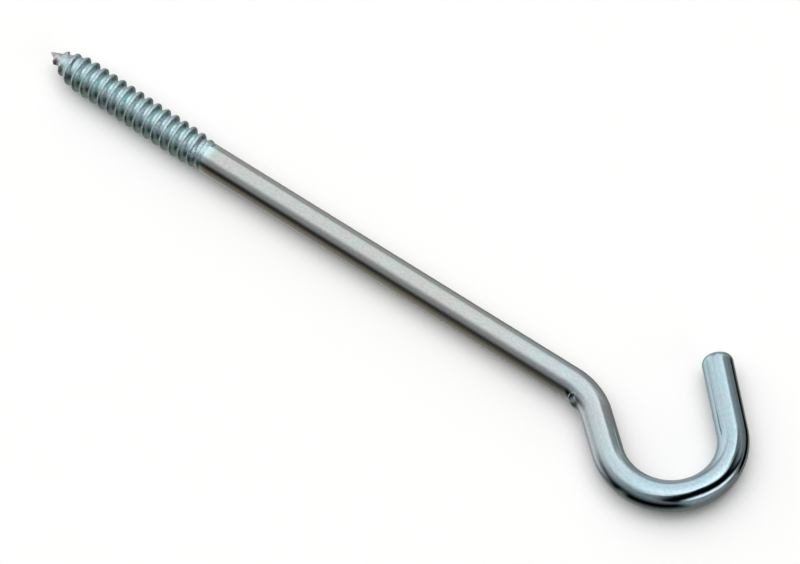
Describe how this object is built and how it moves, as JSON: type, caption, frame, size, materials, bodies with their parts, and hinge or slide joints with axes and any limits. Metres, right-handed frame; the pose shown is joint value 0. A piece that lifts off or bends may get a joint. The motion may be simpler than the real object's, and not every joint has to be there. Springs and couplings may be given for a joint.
{
  "type": "screw hook",
  "caption": "Long zinc-plated steel screw hook: gimlet-pointed wood thread, plain round shank and an offset open round hook, all one bent wire.",
  "frame": {"origin": "on the shank's axis, where the rolled thread runs out", "axes": "+X along the shank from the thread to the hook, +Y the side that the hook opens to, +Z square to the plane of the bends, up as the hook lies flat"},
  "size_m": [0.2113, 0.0476, 0.0094],
  "materials": {
    "zinc_plated_steel": "bright zinc plate with a thin bluish clear passivation over cold-rolled and drawn steel wire"
  },
  "bodies": {
    "root": {"screw_hook": "zinc_plated_steel"}
  },
  "joints": []
}
